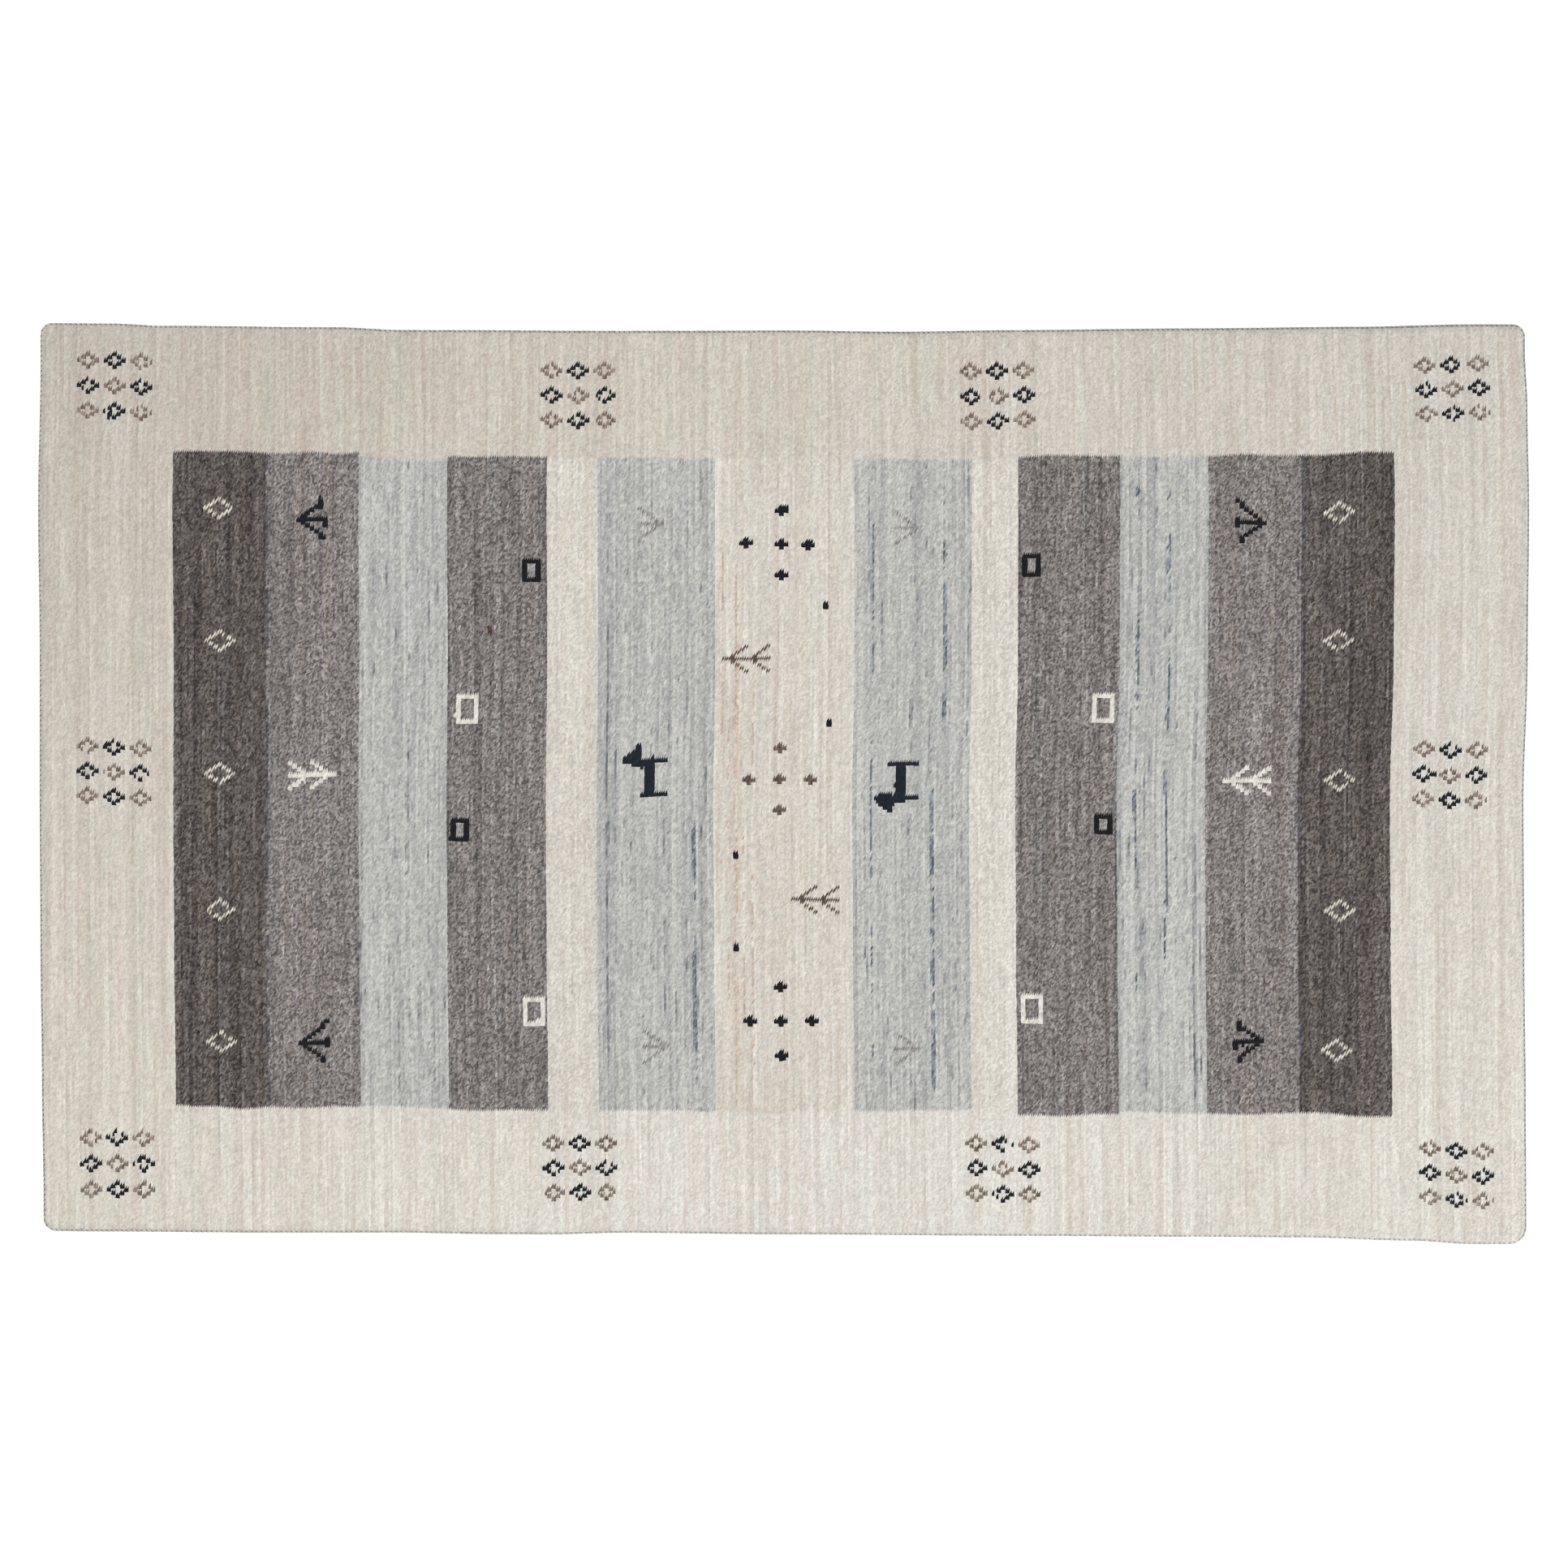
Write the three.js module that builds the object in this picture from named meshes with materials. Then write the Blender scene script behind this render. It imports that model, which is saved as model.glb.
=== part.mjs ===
// A hand-knotted gabbeh rug lying flat: one woven cloth with its knotted wool pile, and the
// wool-overcast cords that close its four edges. Millimetres, +Z up. The rug's length runs
// along X, and the origin is on the floor, under the middle of the rug.
import * as THREE from 'three';

// Driving dimensions
const LENGTH = 1550; // nominal, along X
const WIDTH = 948; // nominal, along Y
const THICKNESS = 12; // ground weave and pile together
const CORD = 6; // the overcast edge cord, across
const CORD_SIDES = 8;
const GAP = 0.3; // left between a cord and its neighbours
const TOP_INSET = 10; // where the rounded shoulder of the pile ends
const LENGTH_STEPS = 31; // along a long side, between its corners
const WIDTH_STEPS = 19; // along a short end, between its corners
const HALF_CORNER_STEPS = 2; // from a side's end to the middle of its corner

// Each edge as it really runs: how far it lies outside the nominal rectangle, at places along
// X for the long sides and along Y for the ends. The rug is drawn in at its waist and spreads
// at its corners, as weaving tension leaves it.
const FRONT_EDGE = [
  { at: -765, out: -9.1 },
  { at: -706, out: -6.6 },
  { at: -529, out: -4.9 },
  { at: -410, out: -4.9 },
  { at: -173, out: -5.8 },
  { at: 4, out: -4.0 },
  { at: 241, out: -2.4 },
  { at: 419, out: -1.5 },
  { at: 537, out: -0.7 },
  { at: 656, out: 2.7 },
  { at: 715, out: 6.1 },
];
const RIGHT_EDGE = [
  { at: -440, out: -0.5 },
  { at: -325, out: -1.0 },
  { at: -173, out: -2.5 },
  { at: -20, out: -3.4 },
  { at: 132, out: 1.0 },
  { at: 284, out: 2.5 },
  { at: 430, out: -1.5 },
];
const BACK_EDGE = [
  { at: -765, out: 5.2 },
  { at: -647, out: 4.4 },
  { at: -470, out: 2.7 },
  { at: -351, out: -0.7 },
  { at: -173, out: -1.5 },
  { at: 4, out: -1.1 },
  { at: 123, out: -2.4 },
  { at: 241, out: -0.7 },
  { at: 419, out: 1.0 },
  { at: 596, out: 2.7 },
  { at: 715, out: 5.2 },
];
const LEFT_EDGE = [
  { at: -440, out: -3.4 },
  { at: -325, out: -1.7 },
  { at: -173, out: 0.0 },
  { at: -20, out: 0.85 },
  { at: 132, out: 0.85 },
  { at: 284, out: 2.5 },
  { at: 430, out: 0.0 },
];

// The four edges in order round the rug. Each is worked out as if it were the front one and
// then turned into its place by quarter turns. A corner radius belongs to the edge's far end.
const EDGES = [
  { cord: 'side_cord_front', table: FRONT_EDGE, way: 1, steps: LENGTH_STEPS, cornerRadius: 18 },
  { cord: 'end_cord_right', table: RIGHT_EDGE, way: 1, steps: WIDTH_STEPS, cornerRadius: 13 },
  { cord: 'side_cord_back', table: BACK_EDGE, way: -1, steps: LENGTH_STEPS, cornerRadius: 12 },
  { cord: 'end_cord_left', table: LEFT_EDGE, way: -1, steps: WIDTH_STEPS, cornerRadius: 14 },
];

// The cloth's edge in section, from the floor up: how far in from the rug's outline, and how
// high. The ground weave stops beside the cord, and the pile above it spreads out over the cord.
const EDGE_SECTION = [
  { inset: CORD + GAP, height: 0 },
  { inset: CORD + GAP, height: 4.6 },
  { inset: 4.7, height: 6.6 },
  { inset: 2.4, height: 7.7 },
  { inset: 2.2, height: 9.0 },
  { inset: 3.3, height: 10.8 },
  { inset: 6.0, height: 11.7 },
  { inset: TOP_INSET, height: THICKNESS },
];

// Broad, shallow unevenness of the pile, as waves over the rug. rise is a share of the height.
const PILE_WAVES = [
  { lengthX: 530, lengthY: 910, phase: 0.4, rise: 0.018 },
  { lengthX: 310, lengthY: -420, phase: 2.1, rise: 0.012 },
  { lengthX: -890, lengthY: 260, phase: 4.0, rise: 0.01 },
];

// A smooth run through a table's rows, level before the first and after the last
function outAt(table, at) {
  if (at <= table[0].at) return table[0].out;
  for (let k = 1; k < table.length; k++) {
    const before = table[k - 1];
    const after = table[k];
    if (at <= after.at) {
      const share = THREE.MathUtils.smoothstep(at, before.at, after.at);
      return THREE.MathUtils.lerp(before.out, after.out, share);
    }
  }
  return table[table.length - 1].out;
}

// One edge's outline points, from the middle of one corner to the middle of the next
function edgePoints(index) {
  const edge = EDGES[index];
  const next = EDGES[(index + 1) % 4];
  const previous = EDGES[(index + 3) % 4];
  const [reach, half] = index % 2 === 0 ? [LENGTH / 2, WIDTH / 2] : [WIDTH / 2, LENGTH / 2];
  const distance = (s) => half + outAt(edge.table, edge.way * s);
  const end = {
    s: reach + outAt(next.table, next.way * -half),
    radius: edge.cornerRadius,
  };
  const start = {
    s: -reach - outAt(previous.table, previous.way * half),
    radius: previous.cornerRadius,
  };
  const points = [];
  const arc = (centreS, radius, degrees, side) => {
    const angle = THREE.MathUtils.degToRad(degrees);
    const x = centreS + radius * Math.cos(angle);
    const y = radius - distance(side) + radius * Math.sin(angle);
    points.push(new THREE.Vector2(x, y));
  };
  for (let k = 0; k < HALF_CORNER_STEPS; k++) {
    arc(start.s + start.radius, start.radius, -135 + (45 * k) / HALF_CORNER_STEPS, -reach);
  }
  const first = start.s + start.radius;
  const last = end.s - end.radius;
  for (let k = 0; k <= edge.steps; k++) {
    const s = THREE.MathUtils.lerp(first, last, k / edge.steps);
    points.push(new THREE.Vector2(s, -distance(s)));
  }
  for (let k = 1; k <= HALF_CORNER_STEPS; k++) {
    arc(last, end.radius, -90 + (45 * k) / HALF_CORNER_STEPS, reach);
  }
  const origin = new THREE.Vector2();
  return points.map((point) => point.rotateAround(origin, (index * Math.PI) / 2));
}

// The whole outline, centred on the origin, with each point's direction along the edge. Each
// edge keeps the number of its first point, and ends on the first point of the next edge.
function makeOutline() {
  const points = [];
  const firstOf = [];
  for (let index = 0; index < 4; index++) {
    firstOf.push(points.length);
    points.push(...edgePoints(index).slice(0, -1));
  }
  const centre = new THREE.Box2().setFromPoints(points).getCenter(new THREE.Vector2());
  points.forEach((point) => point.sub(centre));
  const along = points.map((point, k) => {
    const before = points[(k + points.length - 1) % points.length];
    const after = points[(k + 1) % points.length];
    return after.clone().sub(before).normalize();
  });
  return { points, along, firstOf };
}

const outline = makeOutline();
const COUNT = outline.points.length;

// A point of the outline moved in towards the cloth
function insetPoint(k, inset) {
  const { x, y } = outline.along[k % COUNT];
  const inward = new THREE.Vector2(-y, x);
  return outline.points[k % COUNT].clone().addScaledVector(inward, inset);
}

// The height of the cloth at a place, for a nominal height
function clothHeight(point, height) {
  let share = 1;
  for (const wave of PILE_WAVES) {
    const turns = point.x / wave.lengthX + point.y / wave.lengthY;
    share += wave.rise * Math.cos(2 * Math.PI * turns + wave.phase);
  }
  return height * share;
}

function makeMesh(name, positions, triangles, material) {
  const geometry = new THREE.BufferGeometry();
  geometry.setAttribute('position', new THREE.Float32BufferAttribute(positions, 3));
  geometry.setIndex(triangles);
  geometry.computeVertexNormals();
  const mesh = new THREE.Mesh(geometry, material);
  mesh.name = name;
  return mesh;
}

// Fills the inside of a ring of points with a grid that follows its four edges. It gives the
// grid's points, and keeps the ring's own vertex numbers round the rim.
function fillRing(ring, firstVertex, nominal, positions) {
  const across = outline.firstOf[1] - outline.firstOf[0];
  const up = outline.firstOf[2] - outline.firstOf[1];
  const front = (i) => i;
  const right = (j) => across + j;
  const back = (i) => across + up + (across - i);
  const left = (j) => (2 * across + up + (up - j)) % COUNT;
  const measure = (number, from, to, axis) => {
    const [low, high] = [ring[from][axis], ring[to][axis]];
    return (ring[number][axis] - low) / (high - low);
  };
  const numbers = [];
  for (let j = 0; j <= up; j++) {
    const row = [];
    for (let i = 0; i <= across; i++) {
      if (j === 0) row.push(firstVertex + front(i));
      else if (j === up) row.push(firstVertex + back(i));
      else if (i === 0) row.push(firstVertex + left(j));
      else if (i === across) row.push(firstVertex + right(j));
      else {
        const u = (measure(front(i), 0, across, 'x') + measure(back(i), back(0), back(across), 'x')) / 2;
        const v = (measure(left(j), left(0), left(up), 'y') + measure(right(j), right(0), right(up), 'y')) / 2;
        const alongLength = ring[front(i)].clone().lerp(ring[back(i)], v);
        const alongWidth = ring[left(j)].clone().lerp(ring[right(j)], u);
        const low = ring[front(0)].clone().lerp(ring[front(across)], u);
        const high = ring[back(0)].clone().lerp(ring[back(across)], u);
        const point = alongLength.add(alongWidth).sub(low.lerp(high, v));
        row.push(positions.length / 3);
        positions.push(point.x, point.y, clothHeight(point, nominal));
      }
    }
    numbers.push(row);
  }
  return numbers;
}

// The woven cloth: rings round its edge, a gently uneven top and a flat underside
function makeCloth() {
  const positions = [];
  const triangles = [];
  const rings = EDGE_SECTION.map(({ inset, height }) => {
    const ring = outline.points.map((_, k) => insetPoint(k, inset));
    ring.forEach((point) => positions.push(point.x, point.y, clothHeight(point, height)));
    return ring;
  });
  for (let level = 0; level + 1 < rings.length; level++) {
    for (let k = 0; k < COUNT; k++) {
      const a = level * COUNT + k;
      const b = level * COUNT + ((k + 1) % COUNT);
      triangles.push(a, b, b + COUNT, a, b + COUNT, a + COUNT);
    }
  }
  const addFace = (level, facesUp) => {
    const numbers = fillRing(rings[level], level * COUNT, EDGE_SECTION[level].height, positions);
    for (let j = 0; j + 1 < numbers.length; j++) {
      for (let i = 0; i + 1 < numbers[j].length; i++) {
        const [a, b] = [numbers[j][i], numbers[j][i + 1]];
        const [c, d] = [numbers[j + 1][i + 1], numbers[j + 1][i]];
        if (facesUp) triangles.push(a, b, c, a, c, d);
        else triangles.push(a, c, b, a, d, c);
      }
    }
  };
  addFace(rings.length - 1, true);
  addFace(0, false);
  const wool = new THREE.MeshStandardMaterial({ color: 0xcdc6ba, roughness: 0.95, metalness: 0 });
  return makeMesh('pile_and_ground', positions, triangles, wool);
}

// An edge cord: an eight-sided section with a flat side down, run along its edge of the rug
// from corner to corner, where it stops short of the next cord by half the gap
function makeCord(index) {
  const first = outline.firstOf[index];
  const last = index === 3 ? COUNT : outline.firstOf[index + 1];
  const positions = [];
  const triangles = [];
  const corner = CORD / 2 / Math.cos(Math.PI / CORD_SIDES);
  for (let k = first; k <= last; k++) {
    const along = outline.along[k % COUNT];
    const trim = k === first ? GAP / 2 : k === last ? -GAP / 2 : 0;
    for (let side = 0; side < CORD_SIDES; side++) {
      const angle = (2 * Math.PI * (side + 0.5)) / CORD_SIDES;
      const point = insetPoint(k, CORD / 2 + corner * Math.cos(angle)).addScaledVector(along, trim);
      positions.push(point.x, point.y, CORD / 2 + corner * Math.sin(angle));
    }
  }
  const sections = last - first;
  for (let section = 0; section < sections; section++) {
    for (let side = 0; side < CORD_SIDES; side++) {
      const a = section * CORD_SIDES + side;
      const b = section * CORD_SIDES + ((side + 1) % CORD_SIDES);
      triangles.push(a, b, b + CORD_SIDES, a, b + CORD_SIDES, a + CORD_SIDES);
    }
  }
  for (let side = 1; side + 1 < CORD_SIDES; side++) {
    const end = sections * CORD_SIDES;
    triangles.push(0, side + 1, side);
    triangles.push(end, end + side, end + side + 1);
  }
  const wool = new THREE.MeshStandardMaterial({ color: 0xb3aa9f, roughness: 0.9, metalness: 0 });
  return makeMesh(EDGES[index].cord, positions, triangles, wool);
}

const rug = new THREE.Group();
rug.add(makeCloth());
EDGES.forEach((_, index) => rug.add(makeCord(index)));

export default rug;
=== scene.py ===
"""A hand-knotted gabbeh rug, lying flat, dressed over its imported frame. The frame is in metres; sizes are
named here in millimetres, as a weaver gives them. Rows of knots run across the rug, along Y, and follow
one another along X. The front of the rug is its long side at the lowest Y."""

import math
from typing import NamedTuple

import bpy
import numpy as np
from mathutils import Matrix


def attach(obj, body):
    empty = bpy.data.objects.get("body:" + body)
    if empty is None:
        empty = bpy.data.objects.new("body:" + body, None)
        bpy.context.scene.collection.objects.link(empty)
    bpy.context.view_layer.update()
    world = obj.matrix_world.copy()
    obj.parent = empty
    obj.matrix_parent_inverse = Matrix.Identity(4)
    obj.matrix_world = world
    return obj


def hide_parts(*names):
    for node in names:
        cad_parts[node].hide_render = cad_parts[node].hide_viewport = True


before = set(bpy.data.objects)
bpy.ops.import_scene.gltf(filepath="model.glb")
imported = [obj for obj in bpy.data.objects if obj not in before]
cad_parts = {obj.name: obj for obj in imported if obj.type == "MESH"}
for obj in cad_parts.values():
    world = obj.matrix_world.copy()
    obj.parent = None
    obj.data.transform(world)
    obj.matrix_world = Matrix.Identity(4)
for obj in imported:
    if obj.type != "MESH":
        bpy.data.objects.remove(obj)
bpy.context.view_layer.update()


# Ground weave
# The woven cloth under the pile: woollen wefts beaten down on a warp, each row of knots tied between
# them. The knots show through on the back, two small nodes for each, so the figures are seen there
# in reverse. It stops beside the edge cords, and the pile stands on it.

# The rug's nominal size, and a millimetre in metres
LENGTH = 1550
WIDTH = 948
METRES = 0.001

# How far each edge lies outside the nominal rectangle, at places along X or along Y
FRONT_EDGE = [
    (-765, -7.6),
    (-706, -7.1),
    (-529, -5.7),
    (-410, -5.9),
    (-293, -4.2),
    (-242, -3.9),
    (-173, -5.6),
    (4, -4.0),
    (241, -2.4),
    (419, -1.5),
    (537, -0.7),
    (656, 2.7),
    (715, 6.1),
]
RIGHT_EDGE = [
    (-440, -0.5),
    (-325, -1.0),
    (-173, -2.5),
    (-20, -3.4),
    (132, 1.0),
    (284, 2.5),
    (386, 0.7),
    (450, -2.1),
]
BACK_EDGE = [
    (-765, 6.5),
    (-700, 6.2),
    (-647, 3.9),
    (-470, 2.4),
    (-395, -0.5),
    (-351, -0.7),
    (-173, -1.5),
    (4, -1.1),
    (123, -2.4),
    (241, -0.7),
    (419, 1.0),
    (596, 2.7),
    (715, 5.2),
]
LEFT_EDGE = [(-440, -3.4), (-325, -1.7), (-173, 0.0), (-20, 0.85), (132, 0.85), (284, 2.5), (430, 0.0)]

# The edges are told from the middle of the cloth, which lies this far along Y from the frame's middle
MIDDLE_Y = 0.45

# Each rounded corner: which way it lies along X and Y, and its radius
CORNERS = [(1, -1, 18), (1, 1, 13), (-1, 1, 12), (-1, -1, 14)]

# The knots of neighbouring rows don't lie quite level: wave lengths along X and Y, phase, and shift.
# The wander fades out over this far from the edges.
KNOT_WANDER = [(150, 2100, 0.5, 0.7), (365, -1500, 2.4, 0.9), (61, 1700, 1.1, 0.35)]
WANDER_FADE = 60

# The weaver's own unevenness along the field's two long edges: place along X, and shift along Y. The
# edges lie FIELD_EDGE from the middle, and the shift fades out over FIELD_FADE on either side of them.
FIELD_FRONT = [
    (-640, 5.0),
    (-598, 2.4),
    (-564, -0.8),
    (-530, 0.3),
    (-430, 2.6),
    (-310, 1.7),
    (-166, -1.0),
    (-98, -2.4),
    (88, 0.9),
    (130, 1.9),
    (275, -0.5),
    (345, 1.2),
    (420, 0.8),
    (495, -2.0),
    (546, 0.3),
    (622, -2.9),
]
FIELD_BACK = [
    (-640, -2.5),
    (-564, -1.0),
    (-490, -0.5),
    (-458, -2.6),
    (-430, 1.4),
    (-344, 0.0),
    (-320, -1.8),
    (-276, 0.0),
    (200, -1.4),
    (275, 2.4),
    (300, 0.7),
    (380, -0.6),
    (418, -2.4),
    (495, 1.2),
    (546, 0.8),
    (622, 3.2),
]
FIELD_EDGE = 345
FIELD_FADE = 110

# Broad unevenness of the cloth: wave lengths along X and Y, phase, and rise as a share of the height
CLOTH_WAVES = [(530, 910, 0.4, 0.018), (310, -420, 2.1, 0.012), (-890, 260, 4.0, 0.01)]


def out_at(table, at):
    """How far an edge lies outside the nominal rectangle, smoothly between the table's places."""
    places = np.array([place for place, _ in table], float)
    outs = np.array([out for _, out in table], float)
    at = np.clip(at, places[0], places[-1])
    before = np.clip(np.searchsorted(places, at, side="right") - 1, 0, len(places) - 2)
    share = (at - places[before]) / (places[before + 1] - places[before])
    share = share * share * (3 - 2 * share)
    return outs[before] + share * (outs[before + 1] - outs[before])


def on_rug(x, y):
    """Where a place of the squared-up cloth really lies: corners rounded, then edges moved in or out."""
    for way_x, way_y, radius in CORNERS:
        beyond_x = way_x * x - (LENGTH / 2 - radius)
        beyond_y = way_y * y - (WIDTH / 2 - radius)
        rounded = (beyond_x > 0) & (beyond_y > 0)
        reach = np.hypot(beyond_x, beyond_y)
        keep = np.where(rounded, np.maximum(beyond_x, beyond_y) / np.where(rounded, reach, 1), 1)
        x, y = (
            np.where(rounded, way_x * (LENGTH / 2 - radius + beyond_x * keep), x),
            np.where(rounded, way_y * (WIDTH / 2 - radius + beyond_y * keep), y),
        )
    right_share = x / LENGTH + 0.5
    back_share = y / WIDTH + 0.5
    real_x = x + right_share * out_at(RIGHT_EDGE, y) - (1 - right_share) * out_at(LEFT_EDGE, y)
    real_y = y + back_share * out_at(BACK_EDGE, x) - (1 - back_share) * out_at(FRONT_EDGE, x) + MIDDLE_Y
    inside = np.clip(np.minimum(LENGTH / 2 - abs(x), WIDTH / 2 - abs(y)) / WANDER_FADE, 0, 1)
    for length_x, length_y, phase, shift in KNOT_WANDER:
        real_y = real_y + shift * inside * np.sin(2 * math.pi * (x / length_x + y / length_y) + phase)
    for table, edge in ((FIELD_FRONT, -FIELD_EDGE), (FIELD_BACK, FIELD_EDGE)):
        near = np.clip(1 - abs(y - edge) / FIELD_FADE, 0, 1)
        real_y = real_y + near * inside * out_at(table, x)
    return real_x, real_y


def lifted(x, y, height):
    """A nominal height in the cloth, with the cloth's broad unevenness."""
    share = 1
    for length_x, length_y, phase, rise in CLOTH_WAVES:
        share = share + rise * np.cos(2 * math.pi * (x / length_x + y / length_y) + phase)
    return height * share


# The loom's count. Each knot leaves two tufts side by side, so a row is two tufts wide. Row 0 is at the
# left edge and knot 0 at the front one, and the pile stops a little inside the cord's outer side.
ROWS = 336
KNOTS = 292
TUFTS_ACROSS = 2 * ROWS
PILE_INSET = 3.0
TUFT_WIDTH = (LENGTH - 2 * PILE_INSET) / TUFTS_ACROSS
KNOT_PITCH = (WIDTH - 2 * PILE_INSET) / KNOTS


class Yarn(NamedTuple):
    """A yarn spun from a pale and a deep fleece, with colours from 0 to 255. deep_share is how much of the
    deep one shows. The next four say how strongly that changes: from tuft to tuft, along a row, from row
    to row, and as dark dashes. tinge is a third fleece, which comes and goes along the rows. fluff is how
    much the single wisps of wool differ."""

    pale: tuple
    deep: tuple
    deep_share: float = 0.5
    fleck: float = 0.1
    streak: float = 0
    row: float = 0
    dash: float = 0
    tinge: tuple = (128, 128, 128)
    tinge_share: float = 0
    fluff: float = 0.5


YARNS = {
    "border cream": Yarn(
        pale=(227, 223, 213),
        deep=(158, 150, 140),
        deep_share=0.2,
        fleck=0.03,
        streak=0.05,
        row=0.06,
        dash=0.06,
        tinge=(200, 178, 163),
        tinge_share=0.2,
        fluff=0.22,
    ),
    "gap cream": Yarn(
        pale=(229, 226, 217),
        deep=(165, 157, 148),
        deep_share=0.2,
        fleck=0.07,
        streak=0.05,
        row=0.06,
        dash=0.04,
        tinge=(206, 188, 174),
        tinge_share=0.16,
        fluff=0.26,
    ),
    "middle cream": Yarn(
        pale=(229, 225, 215),
        deep=(165, 157, 148),
        deep_share=0.18,
        fleck=0.045,
        streak=0.06,
        row=0.07,
        dash=0.05,
        tinge=(196, 174, 158),
        tinge_share=0.22,
        fluff=0.22,
    ),
    "pale blue grey": Yarn(
        pale=(204, 203, 197),
        deep=(102, 106, 112),
        deep_share=0.165,
        fleck=0.07,
        streak=0.055,
        row=0.075,
        dash=0.25,
        tinge=(154, 160, 165),
        tinge_share=0.08,
        fluff=0.3,
    ),
    "mid grey": Yarn(
        pale=(171, 166, 163),
        deep=(78, 74, 73),
        deep_share=0.45,
        fleck=0.09,
        streak=0.07,
        row=0.065,
        dash=0.05,
        tinge=(150, 132, 122),
        tinge_share=0.14,
        fluff=0.93,
    ),
    "taupe grey": Yarn(
        pale=(169, 164, 160),
        deep=(74, 71, 70),
        deep_share=0.45,
        fleck=0.09,
        streak=0.08,
        row=0.085,
        dash=0.06,
        tinge=(140, 124, 116),
        tinge_share=0.14,
        fluff=0.92,
    ),
    "dark grey": Yarn(
        pale=(132, 126, 122),
        deep=(46, 42, 40),
        deep_share=0.48,
        fleck=0.11,
        streak=0.07,
        row=0.09,
        dash=0.05,
        tinge=(106, 90, 79),
        tinge_share=0.2,
        fluff=1.02,
    ),
    "deep navy": Yarn(pale=(38, 49, 64), deep=(10, 14, 20), fluff=0.5),
    "navy": Yarn(pale=(34, 40, 50), deep=(10, 12, 17), fleck=0.2, fluff=0.5),
    "black": Yarn(pale=(34, 33, 38), deep=(6, 6, 9), fluff=0.5),
    "brown": Yarn(pale=(122, 108, 99), deep=(80, 68, 61), fleck=0.2),
    "thin brown": Yarn(pale=(116, 102, 94), deep=(72, 60, 54), fleck=0.2),
    "taupe": Yarn(pale=(156, 143, 132), deep=(96, 83, 73), deep_share=0.45, fleck=0.25),
    "russet": Yarn(pale=(98, 72, 64), deep=(52, 34, 30)),
    "white": Yarn(pale=(236, 232, 223), deep=(194, 189, 179), deep_share=0.3, fleck=0.2, fluff=0.2),
    "old white": Yarn(pale=(232, 226, 214), deep=(178, 169, 156), deep_share=0.35, fleck=0.2, fluff=0.2),
    "pebble grey": Yarn(pale=(166, 163, 160), deep=(118, 116, 114), deep_share=0.4, fleck=0.25),
    "rose streak": Yarn(pale=(218, 201, 187), deep=(190, 170, 154), fleck=0.2, streak=0.1, fluff=0.3),
    "slate streak": Yarn(pale=(162, 168, 171), deep=(84, 94, 105), fleck=0.25, streak=0.15),
    "plum streak": Yarn(pale=(118, 114, 120), deep=(66, 64, 76), fleck=0.2, streak=0.1, fluff=0.8),
}
YARN_NAMES = list(YARNS)

# Figures in thick wool, where a tuft also covers the foot of the one in front of it: how far, in
# millimetres, it pushes its neighbours aside across the rows and along them, and how often it covers
# a whole one
THICK_WOOL = {
    "deep navy": (0.9, 0.1, 0.03),
    "navy": (0.25, 0.05, 0.01),
    "taupe": (0, 0, 0),
    "black": (0.7, 0.15, 0.02),
    "white": (0.05, 0.05, 0.01),
    "brown": (0, 0, 0),
}

# The field's bands: the row where each starts, its yarn, and its first and last knot. A half row is
# one where only the second tuft of each knot shows the band. The last band ends at FIELD_END.
BANDS = [
    (30, "dark grey", 40, 252),
    (51, "mid grey", 40, 252),
    (72, "pale blue grey", 40, 250),
    (92, "taupe grey", 40, 251),
    (114.5, "gap cream", 40, 251),
    (126, "pale blue grey", 40, 251),
    (152.5, "middle cream", 40, 251),
    (184, "pale blue grey", 40, 251),
    (210.5, "gap cream", 40, 251),
    (221, "taupe grey", 39, 251),
    (244, "pale blue grey", 40, 251),
    (264, "mid grey", 40, 251),
    (285, "dark grey", 40, 251),
]
FIELD_END = 306

# The weaver's figures. A line of a chart is one knot, from the back of the rug to the front, and each
# sign in it is one row: X for the figure's own yarn, and o for the one inside it.
SMALL_DIAMOND = """
..X..
.X.X.
X...X
.X.X.
..X..
"""
DIAMOND = """
...X...
..X.X..
.X...X.
X.....X
.X...X.
..X.X..
...X...
"""
ARROW = """
.....X.
.....X.
....XX.
...X...
..X....
.X.....
XXXXXXX
.X....X
..X...X
...X...
....X..
.....X.
.....X.
"""
BARRED_ARROW = """
......X
.....X.
.....X.
....X..
...X...
..X....
.X....X
XXXXXXX
.X....X
..X....
...X...
....X..
.....X.
.....X.
"""
FAINT_ARROW = """
X.....
.X....
..X...
...X..
....X.
XXXXXX
....X.
...X..
..X...
.X....
X.....
"""
TREE = """
.....X....X
....X....X.
...X....X..
..X....X...
XXXXXXXXXXX
..X....X...
...X....X..
....X....X.
.....X....X
"""
PLUS = """
.X.
XXX
.X.
"""
BOX = """
XXXXX
X...X
X...X
X...X
X...X
X...X
X...X
X...X
XXXXX
"""
FILLED_BOX = """
XXXX
XooX
XooX
XooX
XooX
XooX
XXXX
"""
LOW_BOX = """
XXXX
XooX
XooX
XooX
XooX
XXXX
"""
GRAZING_GOAT = """
...X......
...X......
..XX......
.XXX......
XXXX......
XXXXXXXXXX
..XXXXX...
.....XX...
.....XX...
.....XX...
.....XX...
.....XX...
.....XX...
.....XX...
.....XX...
.....XX...
....XXXXXX
"""
STANDING_GOAT = """
...XXXXXXX
.....XX...
.....XX...
.....XX...
.....XX...
.....XX...
.....XX...
.....XX...
.....XX...
.....XX...
.XXX.XX...
XXXXXXXXXX
.XXXXXX...
.XXX......
..XX......
...X......
"""
DOT = """
X
X
"""
SPECK = """
X
X
X
"""

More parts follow.
